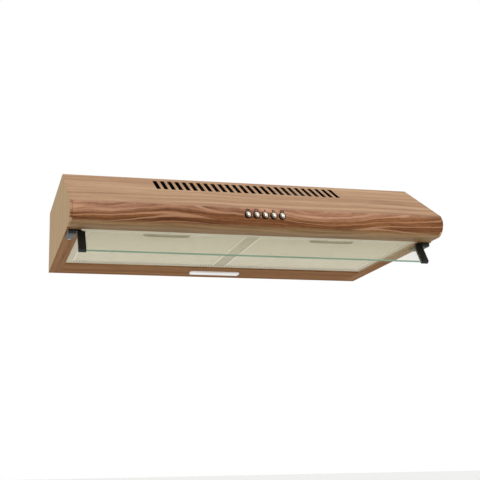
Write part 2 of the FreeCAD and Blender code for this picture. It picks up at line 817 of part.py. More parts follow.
def visor_arm(label, side):
    """A strap with an eye for the pin, and a groove that holds the pane's end."""
    x = f"{side} * (arm_inner + arm_width / 2)"
    strap = block("arm_width", "visor_reach", "arm_thickness", x, "-visor_reach / 2", "-arm_thickness / 2")
    eye = drum("pivot_drop - free_gap", "arm_width", x=f"{x} - arm_width / 2", along="x")
    depth = f"{x} - {side} * (arm_width - arm_grip)"
    length = "visor_reach - arm_end + 2 * glass_rise"
    middle = "glass_rise - (visor_reach - arm_end) / 2"
    groove = block("arm_width", length, "glass_thickness", depth, middle, "-glass_thickness / 2")
    bore = drum("pivot_pin / 2 + running_fit", "arm_width + 2", x=f"{x} - arm_width / 2 - 1", along="x")
    node(label, lean(less(joined(strap, eye), groove, bore)))


def visor_block(label, side):
    """The block that holds the pivot pin, with a long thin base screwed to the rail."""
    body = new_body(label)
    path = [
        ("block_front", "-body_height"),
        ("block_front", "block_chamfer - body_height - block_height"),
        ("block_front + block_chamfer", "-body_height - block_height"),
        ("block_front + block_length - block_slope", "-body_height - block_height"),
        ("block_front + block_length", "-body_height - base_height"),
        ("block_front + base_length", "-body_height - base_height"),
        ("block_front + base_length", "-body_height"),
    ]
    pad(body, outline(body, "YZ_Plane", path, f"{side} * block_inner"), "block_width", back=side < 0)
    cut_through(body, circles(body, "XY_Plane", block_screw_holes(side)))
    cut_through(body, circles(body, "YZ_Plane", [("pivot_y", "pivot_z", "pivot_pin / 2")]))


def visor_fixings():
    """The pivot pins, the friction washers between arm and block, and the blocks' screws."""
    pins = []
    washers = []
    screws = []
    head_down = Rotation(Vector(1, 0, 0), 180)
    for side in (1, -1):
        near = "arm_inner + arm_grip + free_gap"
        far = "block_inner + block_width"
        start = near if side > 0 else f"-({far})"
        pins.append(drum("pivot_pin / 2", f"{far} - ({near})", start, "pivot_y", "pivot_z", "x"))
        left = f"{side} * (arm_outer + free_gap) - 0.4"
        ring = drum("pivot_drop - 1", 0.8, left, "pivot_y", "pivot_z", "x")
        hole = drum("pivot_pin / 2 + running_fit", 2, f"{left} - 0.5", "pivot_y", "pivot_z", "x")
        washers.append(less(ring, hole))
        for x, y, radius in block_screw_holes(side):
            under = "-body_height - base_height"
            screws.append(screw(radius, "base_height + sheet + 5", 1.4, x, y, under, head_down))
    node("visor_pivot_pins", group(*pins))
    node("visor_washers", group(*washers))
    node("visor_block_screws", group(*screws))


# ---- lamp ----


def lamp():
    """A diffuser that stands proud of the rear panel, the light box above it, its board and driver."""
    opening = ("lamp_length - 2 * lamp_lap", "lamp_width - 2 * lamp_lap")
    outside = ("lamp_length", "lamp_width", "lamp_corner", "lamp_drop")
    face = rounded(*outside, "lamp_x", "lamp_y", "-body_height - lamp_drop")
    plug = block(*opening, 4, "lamp_x", "lamp_y", "-body_height")
    node("lamp_lens", joined(face, plug))
    level = "sheet - body_height"
    outer = ("lamp_length + 2 * lamp_margin_x", "lamp_width + 2 * lamp_margin_y", "lamp_height")
    inner = (f"{outer[0]} - 2 * lamp_wall", f"{outer[1]} - 2 * lamp_wall", "lamp_height - lamp_wall + 1")
    case = block(*outer, "lamp_x", "lamp_y", level)
    hollow = block(*inner, "lamp_x", "lamp_y", f"{level} - 1")
    node("lamp_housing", less(case, hollow))
    board_size = ("lamp_length - 2 * board_inset", "lamp_width - lamp_drop", "board_thickness")
    board_level = f"{level} + lamp_height - lamp_wall - board_thickness"
    node("lamp_board", block(*board_size, "lamp_x", "lamp_y", board_level))
    driver_size = ("driver_length", "driver_width", "driver_height")
    node("lamp_driver", block(*driver_size, "driver_x", "lamp_y", level))


# ---- blower ----


def scroll_path(wall):
    """The scroll seen from above, its wheel at the origin, and the square chute under the duct."""
    quarters = ["scroll_start", "scroll_bottom", "scroll_right", "scroll_top"]
    reach = [f"{name} + {wall}" for name in quarters]
    bends = [f"({first} + {second}) / 2 + {wall}" for first, second in zip(quarters, quarters[1:])]
    return [
        (0, f"-({reach[1]})", bends[0]),
        (reach[2], 0, bends[1]),
        (0, reach[3], bends[2]),
        (f"chute_left - {wall}", reach[3]),
        (f"chute_left - {wall}", f"chute_near - {wall}"),
        (f"-({reach[0]})", f"chute_near - {wall}"),
    ]


def blower_half(label, low, high, floor, holes):
    """Half of the scroll housing between two levels: its wall, and a plate that starts at floor."""
    body = new_body(label)
    pad(body, outline(body, "XY_Plane", scroll_path("blower_wall"), low), f"({high}) - ({low})")
    before = body.Shape.Volume
    hollow = body.newObject("PartDesign::Pocket", "Hollow")
    hollow.Profile = outline(body, "XY_Plane", scroll_path("0"), f"({low}) + ({floor})")
    hollow.Reversed = True
    bind(hollow, Length=f"({high}) - ({low}) - blower_wall")
    DOCUMENT.recompute()
    if hollow.Shape.Volume > before / 2:
        raise ValueError(f"{label} was not hollowed")
    cut_through(body, circles(body, "XY_Plane", holes))
    place(body, "blower_x", "blower_y", 0)


def blower_housing():
    split = "-blower_floor / 2"
    screws = [(*ring_place(turn), "block_screw / 2") for turn in BRACKET_TURNS]
    inlet = (0, 0, "inlet_radius")
    blower_half("blower_housing_lower", "-blower_floor", split, "blower_wall", [inlet] + screws)
    holes = [("-blower_x", "-blower_y", "duct_diameter / 2 - collar_wall")]
    for x in (-1, 1):
        for y in (-1, 1):
            across, along = collar_screw_at(x, y)
            holes.append((f"{across} - blower_x", f"{along} - blower_y", "collar_screw / 2"))
    blower_half("blower_housing_upper", split, "-sheet", "0", holes)


def impeller():
    """A forward-curved wheel: back plate and hub at the top, a ring at the bottom, blades between."""
    body = new_body("impeller")
    pad(body, circles(body, "XY_Plane", [(0, 0, "wheel_radius - 1")], "wheel_height - 2"), 2)
    pad(body, circles(body, "XY_Plane", [(0, 0, 10)], "wheel_height - 14"), 12)
    pad(body, circles(body, "XY_Plane", [(0, 0, "wheel_radius"), (0, 0, "wheel_radius - 4")]), 3)
    curve = "wheel_radius / 4"
    blade = [
        ("wheel_radius - 14", 0),
        ("wheel_radius - 1.6", 7, f"-({curve})"),
        ("wheel_radius - 2.6", 8.2),
        ("wheel_radius - 15", 1.2, curve),
    ]
    feature = pad(body, outline(body, "XY_Plane", blade), "wheel_height - 1")
    repeat_around_z(body, [feature], "blade_count")
    cut_through(body, circles(body, "XY_Plane", [(0, 0, "shaft_diameter / 2 + running_fit")]))
    place(body, "blower_x", "blower_y", "wheel_floor")


BRACKET_TURNS = (90, 210, 330)


def ring_place(turn):
    """A bracket screw's place, measured from the wheel's axis."""
    return f"screw_ring * cos({turn})", f"screw_ring * sin({turn})"


def at_axis(item, z, turn=0):
    """Move a piece drawn about the origin to the blower's axis."""
    shell = group(item)
    place(shell, "blower_x", "blower_y", z, Rotation(Vector(0, 0, 1), turn))
    return shell


def motor():
    bore = "shaft_diameter / 2 + bearing_wall"
    case = drum("motor_radius", "motor_height")
    boss = drum("bearing_wall * 4", "bearing_height + 1", z="motor_height")
    hollow = drum("motor_radius - motor_wall", "motor_height - 2 * motor_wall", z="motor_wall")
    seat = drum(bore, "motor_height + 12", z=-2)
    node("motor_case", at_axis(less(joined(case, boss), hollow, seat), "-blower_floor"))
    bearings = []
    for z in ("0.5", "motor_height + 1"):
        ring = drum(bore, "bearing_height", z=z)
        hole = drum("shaft_diameter / 2 + running_fit", "bearing_height + 2", z=f"{z} - 1")
        bearings.append(less(ring, hole))
    node("motor_bearings", at_axis(group(*bearings), "-blower_floor"))
    winding = drum("motor_radius - motor_wall", "stator_height", z="2 * motor_wall")
    tunnel = drum("rotor_radius + 1", "stator_height + 2", z="2 * motor_wall - 1")
    node("motor_stator", at_axis(less(winding, tunnel), "-blower_floor"))
    rotor = drum("rotor_radius", "stator_height", z="2 * motor_wall")
    shaft = drum("shaft_diameter / 2", "wheel_clearance + wheel_height - 1", z=1)
    node("motor_rotor", at_axis(joined(rotor, shaft), "-blower_floor"))


def motor_bracket():
    """A three-armed spider under the inlet that carries the motor, and its screws."""
    plate = drum("motor_radius - 8", "bracket_wall")
    arms = []
    for turn in BRACKET_TURNS:
        arm = group(block("arm_span", 12, "bracket_wall", "arm_span / 2", 0, 0))
        place(arm, 0, 0, 0, Rotation(Vector(0, 0, 1), turn))
        arms.append(arm)
    holes = [drum("block_screw / 2", 9, *ring_place(turn), -3) for turn in BRACKET_TURNS]
    clear = drum("shaft_diameter / 2 + bearing_wall", 9, z=-3)
    bracket = less(joined(plate, *arms), clear, *holes)
    node("motor_bracket", at_axis(bracket, "-blower_floor - bracket_wall"))
    head_down = Rotation(Vector(1, 0, 0), 180)
    length = "bracket_wall + blower_wall + 2"
    screws = []
    for turn in BRACKET_TURNS:
        screws.append(screw("block_screw / 2", length, 1.4, *ring_place(turn), 0, head_down))
    node("bracket_screws", at_axis(group(*screws), "-blower_floor - bracket_wall"))


def inlet_filter():
    """The ring grille over the inlet and the charcoal disc that twists onto it."""
    top = "-blower_floor - bracket_wall - grille_height"
    rings = []
    for share in (1, 0.72, 0.44, 0.18):
        radius = f"charcoal_radius * {share}"
        rings.append(less(drum(radius, "grille_height"), drum(f"{radius} - 3", "grille_height + 2", z=-1)))
    spokes = []
    for turn in (0, 60, 120):
        spoke = group(block("2 * charcoal_radius - 2", 4, "grille_height", 0, 0, 0))
        place(spoke, 0, 0, 0, Rotation(Vector(0, 0, 1), turn))
        spokes.append(spoke)
    node("inlet_grille", at_axis(joined(*rings, *spokes), top))
    disc = drum("charcoal_radius", "charcoal_height")
    rim = drum("charcoal_radius - 5", 5, z=-1)
    knob = block("charcoal_radius * 0.9", 6, 4, 0, 0, 0)
    node("charcoal_filter", at_axis(joined(less(disc, rim), knob), f"{top} - charcoal_height"))


# ---- wiring ----


def wiring():
    back_wall = "duct_setback - sheet"
    middle = f"{back_wall} - 12 - box_depth / 2"
    case = block("box_width", "box_depth", "box_height", "terminal_x", middle, "-sheet - box_height")
    room = ("box_width - 4", "box_depth - 4", "box_height")
    inside = block(*room, "terminal_x", middle, "-sheet - box_height - 2")
    entry = drum("gland_radius - 2", 8, "terminal_x", f"{back_wall} - 12 - 5", "-gland_drop", "y")
    node("terminal_box", less(case, inside, entry))
    cover_z = "-sheet - box_height - 2"
    node("terminal_cover", block("box_width", "box_depth", 2, "terminal_x", middle, cover_z))
    barrel = drum("gland_radius", "sheet + 12", "terminal_x", f"{back_wall} - 12", "-gland_drop", "y")
    nut = drum("gland_radius + 4", 5, "terminal_x", f"{back_wall} - 5", "-gland_drop", "y")
    hole = drum("gland_radius - 4", 30, "terminal_x", f"{back_wall} - 20", "-gland_drop", "y")
    node("cable_gland", less(joined(barrel, nut), hole))
    can = drum("capacitor_radius", "capacitor_length", "-terminal_x", 0, "-sheet - capacitor_radius", "x")
    node("capacitor", can)


def main():
    top_shell()
    back_panel()
    side_panel("side_panel_left", -1)
    side_panel("side_panel_right", 1)
    front_fascia()
    rear_bottom_panel()
    duct_collar()
    duct_flap("flap_front", -1)
    duct_flap("flap_rear", 1)
    buttons()
    filter_tray()
    centre_divider()
    hinge_ears()
    filter_cassette("left", -1)
    filter_cassette("right", 1)
    visor_glass()
    visor_arm("visor_arm_left", -1)
    visor_arm("visor_arm_right", 1)
    visor_block("visor_block_left", -1)
    visor_block("visor_block_right", 1)
    visor_fixings()
    lamp()
    blower_housing()
    impeller()
    motor()
    motor_bracket()
    inlet_filter()
    wiring()


main()
DOCUMENT.recompute()
for item in DOCUMENT.Objects:
    if "Invalid" in item.State or "Error" in item.State:
        raise ValueError(f"{item.Label} did not build: {item.State}")
for item in NODES:
    if item.Shape.isNull() or not item.Shape.isValid():
        raise ValueError(f"{item.Label} has no valid shape")
os.makedirs("parts", exist_ok=True)
for item in NODES:
    item.Shape.exportStep(f"parts/{item.Label}.step")
    box = item.Shape.BoundBox
    spans = (box.XMin, box.XMax, box.YMin, box.YMax, box.ZMin, box.ZMax)
    volume = round(item.Shape.Volume / 1000, 1)
    print(item.Label, len(item.Shape.Solids), *(round(value, 1) for value in spans), volume)
print(len(NODES), "sub-parts")
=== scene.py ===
# %% [markdown]
# # A slim range hood, dressed piece by piece
# The frame below holds the exact parts of a cooker hood: a folded steel casing, a bull-nosed
# front, two grease filters, five buttons, a lamp and a tilting glass visor. This lesson gives
# every part its finish, and rebuilds in mesh code the parts whose shape needs softer edges or
# finer detail than an exact part carries.

# %% Load the frame
import json
import math
import bmesh
import bpy
from mathutils import Matrix, Vector


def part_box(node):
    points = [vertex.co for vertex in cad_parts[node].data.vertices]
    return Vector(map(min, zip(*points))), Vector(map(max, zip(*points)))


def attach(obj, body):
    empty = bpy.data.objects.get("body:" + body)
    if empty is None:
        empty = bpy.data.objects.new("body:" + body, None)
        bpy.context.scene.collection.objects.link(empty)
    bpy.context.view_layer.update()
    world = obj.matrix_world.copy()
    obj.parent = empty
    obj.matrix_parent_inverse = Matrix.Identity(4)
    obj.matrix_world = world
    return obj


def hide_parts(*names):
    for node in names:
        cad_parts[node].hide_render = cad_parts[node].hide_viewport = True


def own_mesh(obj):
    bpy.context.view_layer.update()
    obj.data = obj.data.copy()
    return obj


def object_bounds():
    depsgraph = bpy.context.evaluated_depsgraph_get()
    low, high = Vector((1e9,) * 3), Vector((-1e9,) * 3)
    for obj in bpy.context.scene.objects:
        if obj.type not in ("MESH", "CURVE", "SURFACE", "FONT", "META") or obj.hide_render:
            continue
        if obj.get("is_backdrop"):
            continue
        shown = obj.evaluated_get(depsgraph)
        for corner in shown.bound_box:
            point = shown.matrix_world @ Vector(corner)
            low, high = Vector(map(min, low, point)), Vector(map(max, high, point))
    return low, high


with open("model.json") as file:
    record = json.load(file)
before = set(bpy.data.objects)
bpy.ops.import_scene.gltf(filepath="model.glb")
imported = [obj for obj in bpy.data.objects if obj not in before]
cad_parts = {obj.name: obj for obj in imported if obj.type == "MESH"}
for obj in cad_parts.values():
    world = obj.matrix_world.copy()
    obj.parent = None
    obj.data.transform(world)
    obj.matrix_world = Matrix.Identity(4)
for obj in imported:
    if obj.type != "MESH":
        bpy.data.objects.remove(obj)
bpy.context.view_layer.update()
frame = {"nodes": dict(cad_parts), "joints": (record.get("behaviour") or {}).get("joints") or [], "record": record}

NODES = frame["nodes"]

# %% [markdown]
# ## The camera
# The hood is looked up at from below and from the left, as a cook sees it on the wall. A long
# lens keeps its edges nearly parallel. The camera's turn is built from three plain turns:
# sideways, then up, then a slight roll.

# %% Camera
EYE = Vector((-0.5046, -2.0825, -0.5507))
TURN_LEFT, LOOK_UP, ROLL = math.radians(-14.636), math.radians(12.372), math.radians(1.049)
LENS_MM, SENSOR_MM = 77.66, 36.0

scene = bpy.context.scene
camera = bpy.data.objects.new("camera", bpy.data.cameras.new("camera"))
camera.data.lens = LENS_MM
camera.data.sensor_width = SENSOR_MM
turn = Matrix.Rotation(TURN_LEFT, 4, "Z") @ Matrix.Rotation(LOOK_UP, 4, "X") @ Matrix.Rotation(ROLL, 4, "Y")
camera.matrix_world = Matrix.Translation(EYE) @ turn @ Matrix.Rotation(math.radians(90), 4, "X")
scene.collection.objects.link(camera)
scene.camera = camera
print("camera looks along", turn @ Vector((0, 1, 0)))

# %% [markdown]
# ## A pale room
# A white sky gives even light from every side, which suits a product picture. The floor is a
# large pale sheet well below the hood. It lights the filters from below, and from underneath it
# is see-through, so that a view from below isn't blocked.

# %% Sky, floor and lamp
scene.view_settings.view_transform = "Standard"
scene.world = bpy.data.worlds.new("white_room")
scene.world.use_nodes = True
sky = scene.world.node_tree.nodes["Background"]
sky.inputs["Color"].default_value = (1.0, 1.0, 1.0, 1.0)
sky.inputs["Strength"].default_value = 1.0

FLOOR_LEVEL, FLOOR_SIZE = -0.80, 30.0
floor_shape = bmesh.new()
bmesh.ops.create_grid(floor_shape, x_segments=1, y_segments=1, size=FLOOR_SIZE)
bmesh.ops.translate(floor_shape, verts=floor_shape.verts, vec=(0, 0, FLOOR_LEVEL))
floor = bpy.data.objects.new("floor", bpy.data.meshes.new("floor"))
floor_shape.to_mesh(floor.data)
floor_shape.free()
scene.collection.objects.link(floor)
floor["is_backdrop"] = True


def floor_paint():
    """Pale paint above, nothing at all from below."""
    material = bpy.data.materials.new("pale_floor")
    material.use_nodes = True
    tree = material.node_tree
    shader = tree.nodes["Principled BSDF"]
    shader.inputs["Base Color"].default_value = (0.86, 0.86, 0.85, 1)
    shader.inputs["Roughness"].default_value = 0.8
    clear = tree.nodes.new("ShaderNodeBsdfTransparent")
    side = tree.nodes.new("ShaderNodeNewGeometry")
    mix = tree.nodes.new("ShaderNodeMixShader")
    tree.links.new(side.outputs["Backfacing"], mix.inputs[0])
    tree.links.new(shader.outputs[0], mix.inputs[1])
    tree.links.new(clear.outputs[0], mix.inputs[2])
    tree.links.new(mix.outputs[0], tree.nodes["Material Output"].inputs["Surface"])
    return material


floor.data.materials.append(floor_paint())


def soft_lamp(name, place, aim, size, watts):
    """A square of light that faces a point."""
    lamp = bpy.data.objects.new(name, bpy.data.lights.new(name, "AREA"))
    lamp.data.size = size
    lamp.data.energy = watts
    lamp.location = place
    lamp.rotation_euler = (Vector(aim) - Vector(place)).to_track_quat("-Z", "Y").to_euler()
    scene.collection.objects.link(lamp)


soft_lamp("key", (0.4, -2.4, 0.2), (0, -0.2, -0.1), 0.8, 8)

# %% [markdown]
# ## How a finish is written
# A finish is a Principled shader fed by procedural patterns. The patterns read Object
# coordinates, and because every part's place is in its mesh, those are metres in the room. The
# small class below only shortens the code: each method adds one node and returns its output.

# %% A short way to write finishes


class Finish:
    """A material under construction: its node tree, its shader and short ways to add nodes."""

    def __init__(self, name, roughness=0.5, metallic=0.0, shine=0.5):
        self.material = bpy.data.materials.new(name)
        self.material.use_nodes = True
        self.tree = self.material.node_tree
        self.shader = self.tree.nodes["Principled BSDF"]
        self.shader.inputs["Roughness"].default_value = roughness
        self.shader.inputs["Metallic"].default_value = metallic
        self.shader.inputs["Specular IOR Level"].default_value = shine
        where = self.tree.nodes.new("ShaderNodeTexCoord")
        self.place = where.outputs["Object"]
        self.normal = where.outputs["Normal"]

    def feed(self, socket, value):
        if isinstance(value, bpy.types.NodeSocket):
            self.tree.links.new(value, socket)
        elif isinstance(value, tuple) and len(value) == 3 and socket.type == "RGBA":
            socket.default_value = (*value, 1)
        else:
            socket.default_value = value

    def math(self, kind, first, second=0.0):
        made = self.tree.nodes.new("ShaderNodeMath")
        made.operation = kind
        self.feed(made.inputs[0], first)
        self.feed(made.inputs[1], second)
        return made.outputs[0]

    def along(self, direction):
        """How far a point is along a direction."""
        made = self.tree.nodes.new("ShaderNodeVectorMath")
        made.operation = "DOT_PRODUCT"
        self.feed(made.inputs[0], self.place)
        made.inputs[1].default_value = direction
        return made.outputs["Value"]

    def facing(self, axis):
        """How much a face looks along an axis, either way."""
        made = self.tree.nodes.new("ShaderNodeSeparateXYZ")
        self.feed(made.inputs[0], self.normal)
        return made.outputs[axis]

    def joined(self, x, y, z=0.0):
        made = self.tree.nodes.new("ShaderNodeCombineXYZ")
        for socket, value in zip(made.inputs, (x, y, z)):
            self.feed(socket, value)
        return made.outputs[0]

    def noise(self, where, scale=1.0, detail=4.0, rough=0.55):
        made = self.tree.nodes.new("ShaderNodeTexNoise")
        self.feed(made.inputs["Vector"], where)
        for name, value in (("Scale", scale), ("Detail", detail), ("Roughness", rough)):
            made.inputs[name].default_value = value
        return made.outputs["Fac"]

    def ramp(self, value, stops):
        """A colour ramp through (position, colour) stops."""
        made = self.tree.nodes.new("ShaderNodeValToRGB")
        self.feed(made.inputs["Fac"], value)
        band = made.color_ramp
        while len(band.elements) < len(stops):
            band.elements.new(1.0)
        for element, (position, colour) in zip(band.elements, stops):
            element.position = position
            element.color = (*colour, 1)
        return made.outputs["Color"]

    def mix(self, share, first, second, kind="MIX"):
        made = self.tree.nodes.new("ShaderNodeMix")
        made.data_type = "RGBA"
        made.blend_type = kind
        self.feed(made.inputs["Factor"], share)
        colours = [socket for socket in made.inputs if socket.type == "RGBA"]
        self.feed(colours[0], first)
        self.feed(colours[1], second)
        return next(socket for socket in made.outputs if socket.type == "RGBA")

    def colour(self, value):
        self.feed(self.shader.inputs["Base Color"], value)

    def bump(self, height, strength, distance):
        made = self.tree.nodes.new("ShaderNodeBump")
        self.feed(made.inputs["Height"], height)
        made.inputs["Strength"].default_value = strength
        made.inputs["Distance"].default_value = distance
        self.feed(self.shader.inputs["Normal"], made.outputs[0])


def srgb(red, green, blue):
    """A colour as it looks on a screen, turned into the linear light that shaders use."""
    linear = []
    for value in (red, green, blue):
        share = value / 255
        linear.append(share / 12.92 if value < 11 else ((share + 0.055) / 1.055) ** 2.4)
    return tuple(linear)


# %% [markdown]
# ### Wood film
# The casing is steel covered with a printed film, so the wood has colour and hardly any relief.
# Wood grain runs one way and changes quickly across it. A slow drift along the grain bends the
# growth bands into long curves, and every finer pattern follows the same drift. Three layers
# make the print: wide bands of tone, narrow fibres, and dark pores that are short dashes.

# %% Wood film


def grain(film, along, across, drift, seed, band=70.0, fibre=620.0):
    """Wide bands, narrow fibres and pores, all bent by one slow drift along the grain."""
    far = film.along(along)
    slow = film.noise(film.joined(film.math("MULTIPLY", far, 3.4), seed), detail=1.0)
    quick = film.noise(film.joined(film.math("MULTIPLY", far, 15.0), seed + 4.0), detail=2.0)
    bend = film.math("MULTIPLY", film.math("SUBTRACT", slow, 0.5), drift)
    bend = film.math("ADD", bend, film.math("MULTIPLY", film.math("SUBTRACT", quick, 0.5), drift / 7))
    over = film.math("ADD", film.along(across), bend)
    layers = []
    for stretch, fineness, detail in ((2.2, band, 3.0), (16.0, fibre, 3.0), (75.0, fibre * 1.1, 1.5)):
        spot = film.joined(film.math("MULTIPLY", far, stretch), film.math("MULTIPLY", over, fineness), seed)
        layers.append(film.noise(spot, detail=detail))
    return over, *layers


def printed(film, bands, fibres, pores, deep, middle, light, share=0.55, pore_depth=0.25):
    """The print's colour from its layers."""
    shade = film.math("ADD", film.math("MULTIPLY", bands, share), film.math("MULTIPLY", fibres, 1 - share))
    base = film.ramp(shade, [(0.34, deep), (0.5, middle), (0.66, light)])
    dash = film.ramp(pores, [(0.33, (1 - pore_depth,) * 3), (0.47, (1, 1, 1))])
    return film.mix(1.0, base, dash, "MULTIPLY")


def slope_print(film, seed=3.0):
    over, *layers = grain(film, (1, 0, 0), (0, 0.87, 0.49), 0.030, seed, 60.0, 420.0)
    return printed(film, *layers, srgb(151, 111, 82), srgb(177, 139, 107), srgb(197, 165, 130), 0.6, 0.12)


def nose_print(film, seed=8.0):
    """Two tones that part along the same curves as the grain, and an olive underside."""
    over, *layers = grain(film, (1, 0, 0), (0, -0.7, 1), 0.050, seed, 105.0, 560.0)
    upper = printed(film, *layers, srgb(106, 68, 48), srgb(156, 111, 84), srgb(196, 152, 122), 0.6, 0.2)
    lower = printed(film, *layers, srgb(74, 42, 22), srgb(116, 72, 42), srgb(152, 103, 64), 0.55, 0.35)
    under = printed(film, *layers, srgb(112, 84, 52), srgb(141, 111, 76), srgb(163, 134, 98), 0.6, 0.15)
    # the tones part by height on the nose, higher towards the right end
    parting = film.math("ADD", film.math("MULTIPLY", film.along((1, 0, 0)), 0.024), 0.124)
    level = film.math("MULTIPLY", film.math("SUBTRACT", over, parting), 1 / 0.009)
    body = film.mix(film.math("MINIMUM", film.math("MAXIMUM", level, 0.0), 1.0), lower, upper)
    # thin pale lines lie along the growth rings, closer together where the rings crowd
    far = film.math("MULTIPLY", film.along((1, 0, 0)), 1.3)
    rings = film.noise(film.joined(far, film.math("MULTIPLY", over, 20.0)), detail=0.0)
    wave = film.math("SINE", film.math("MULTIPLY", rings, 80.0))
    lines = film.ramp(wave, [(0.80, (0, 0, 0)), (0.97, (0.42, 0.42, 0.42))])
    body = film.mix(lines, body, srgb(206, 160, 126))
    height = film.along((0, -0.7, 1))
    low = film.math("MULTIPLY", film.math("SUBTRACT", height, 0.096), 1 / 0.010)
    return film.mix(film.math("MINIMUM", film.math("MAXIMUM", low, 0.0), 1.0), under, body)


def slope_film():
    """Printed film outside; the sheet's inner side, which looks down, is painted near-black as the shade inside
    the casing.
    """
    film = Finish("oak_film", 0.6, shine=0.05)
    # painted shade: faces looking down, inside the casing, are near-black for the darkness inside the hood
    inner = film.math("LESS_THAN", film.facing("Z"), -0.05)
    film.colour(film.mix(inner, slope_print(film), (0.07, 0.07, 0.072)))
    return film.material


def nose_film():
    film = Finish("walnut_film", 0.5, shine=0.08)
    film.colour(nose_print(film))
    return film.material


def rail_print(film, along, across, seed=5.0):
    over, *layers = grain(film, along, across, 0.012, seed, 80.0, 500.0)
    return printed(film, *layers, srgb(112, 76, 47), srgb(138, 99, 66), srgb(157, 118, 81), 0.6, 0.15)


def rail_film():
    film = Finish("rail_film", 0.8, shine=0.02)
    film.colour(rail_print(film, (1, 0, 0), (0, 1, 0)))
    return film.material


def side_film():
    """One folded sheet, printed pale on its flat side, as the rail below and as the front's edge."""
    film = Finish("side_film", 0.7, shine=0.03)
    over, *layers = grain(film, (0, 0, 1), (0, 1, 0), 0.01, 2.0, 45.0, 300.0)
    flat = printed(film, *layers, srgb(164, 138, 104), srgb(175, 148, 113), srgb(185, 157, 121), 0.6, 0.04)
    rail = rail_print(film, (0, 1, 0), (1, 0, 0))
    front = film.math("LESS_THAN", film.along((0, 1, 0)), -0.3265)
    strip = film.mix(front, slope_print(film), nose_print(film))
    down = film.math("LESS_THAN", film.facing("Z"), -0.9)
    behind = film.math("GREATER_THAN", film.along((0, 1, 0)), -0.2775)
    strip = film.mix(film.math("MULTIPLY", down, behind), strip, rail)
    sideways = film.math("GREATER_THAN", film.math("ABSOLUTE", film.facing("X")), 0.7)
    film.colour(film.mix(sideways, strip, flat))
    return film.material


# %% [markdown]
# ### Paint, plastic and metal
# Paint and plastic vary very little, but never nothing: a faint cloud of tone and a fine skin
# keep them from looking like one flat colour. Metals get their colour from what they reflect, but
# the button chrome has its reflection and highlight painted into its colour.

# %% Paint, plastic and metal


def plain(name, colour, roughness=0.5, metallic=0.0, size=300.0, contrast=0.06, shine=0.4):
    """A moulded, painted or turned finish with faint cloudy variation and a fine skin."""
    made = Finish(name, roughness, metallic, shine)
    cloud = made.noise(made.place, size / 12, 3.0)
    darker = tuple(value * (1 - contrast) for value in colour)
    lighter = tuple(min(1.0, value * (1 + contrast)) for value in colour)
    made.colour(made.ramp(cloud, [(0.3, darker), (0.7, lighter)]))
    made.bump(made.noise(made.place, size, 2.0), 0.05, 0.0002)
    return made.material


def pane_face():
    film = Finish("pane_face", 0.04, shine=0.5)
    haze = film.noise(film.place, 9.0, 2.0)
    film.colour(film.ramp(haze, [(0.3, srgb(204, 200, 170)), (0.7, srgb(210, 207, 180))]))
    film.shader.inputs["Alpha"].default_value = 0.18
    return film.material


def pane_edge():
    film = Finish("pane_edge", 0.3, shine=0.2)
    depth = film.noise(film.joined(film.math("MULTIPLY", film.along((1, 0, 0)), 6.0), 0.0), detail=2.0)
    film.colour(film.ramp(depth, [(0.3, srgb(104, 134, 112)), (0.7, srgb(130, 158, 134))]))
    film.shader.inputs["Alpha"].default_value = 0.95
    return film.material


def painted_reflection_chrome():
    """Bright metal with a painted reflection: its left and lower rim is painted dark for the dark front below it,
    the middle has a painted highlight, and the upper right rim is painted a darker brown.
    """
    made = Finish("painted_reflection_chrome", 0.18, 1.0)
    # painted reflection and highlight: the colour follows which way each face turns, dark to the left and below,
    # brightest in the middle
    turned_to = made.math("ADD", made.facing("X"), made.math("MULTIPLY", made.facing("Z"), 0.8))
    painted_light_share = made.math("MULTIPLY", made.math("ADD", turned_to, 1.2), 1 / 2.4)
    stops = [(0.14, (0.04, 0.027, 0.02)), (0.36, (0.24, 0.18, 0.14)), (0.47, (0.42, 0.36, 0.30))]
    stops += [(0.54, (0.92, 0.87, 0.78)), (0.74, (0.76, 0.66, 0.54)), (0.97, (0.32, 0.23, 0.17))]
    made.colour(made.ramp(painted_light_share, stops))
    return made.material


FINISHES = {
    "slope_film": slope_film(),
    "nose_film": nose_film(),
    "side_film": side_film(),
    "rail_film": rail_film(),
    "galvanised_steel": plain("galvanised_steel", (0.42, 0.43, 0.44), 0.45, 0.8, 60.0, 0.18),
    "cream_paint": plain("cream_enamel", srgb(196, 188, 164), 0.5),
    "divider_grey": plain("grey_enamel", srgb(186, 180, 156), 0.6, shine=0.1),
    "filter_aluminium": plain("satin_aluminium", srgb(224, 218, 198), 0.5),
    "filter_mesh": plain("filter_mesh", srgb(232, 226, 206), 0.6, 0.0, 900.0, 0.05),
    "grey_plastic": plain("grey_plastic", srgb(190, 184, 160), 0.5),
    "steel_pin": plain("turned_steel", (0.45, 0.45, 0.46), 0.3, 1.0),
    "spring_steel": plain("spring_wire", (0.40, 0.40, 0.41), 0.3, 1.0),
    "visor_glass": pane_face(),
    "black_plastic": plain("black_plastic", (0.010, 0.010, 0.009), 0.42, shine=0.3),
    "lamp_white": plain("opal_lamp", (0.96, 0.95, 0.94), 0.35),
    "lamp_case": plain("lamp_case", (0.60, 0.60, 0.57), 0.5),
    "board_green": plain("board_green", (0.03, 0.16, 0.07), 0.45),
    "button_chrome": painted_reflection_chrome(),
    "blower_plastic": plain("dark_plastic", (0.03, 0.03, 0.032), 0.5),
    "motor_steel": plain("pressed_steel", (0.40, 0.40, 0.41), 0.35, 1.0),
    "copper_winding": plain("copper_wire", (0.60, 0.28, 0.12), 0.35, 1.0),
    "charcoal": plain("charcoal", (0.015, 0.015, 0.015), 0.9),
    "capacitor_can": plain("capacitor_can", (0.62, 0.62, 0.60), 0.4),
    "zinc_screw": plain("zinc_plate", (0.50, 0.50, 0.48), 0.35, 1.0),
}
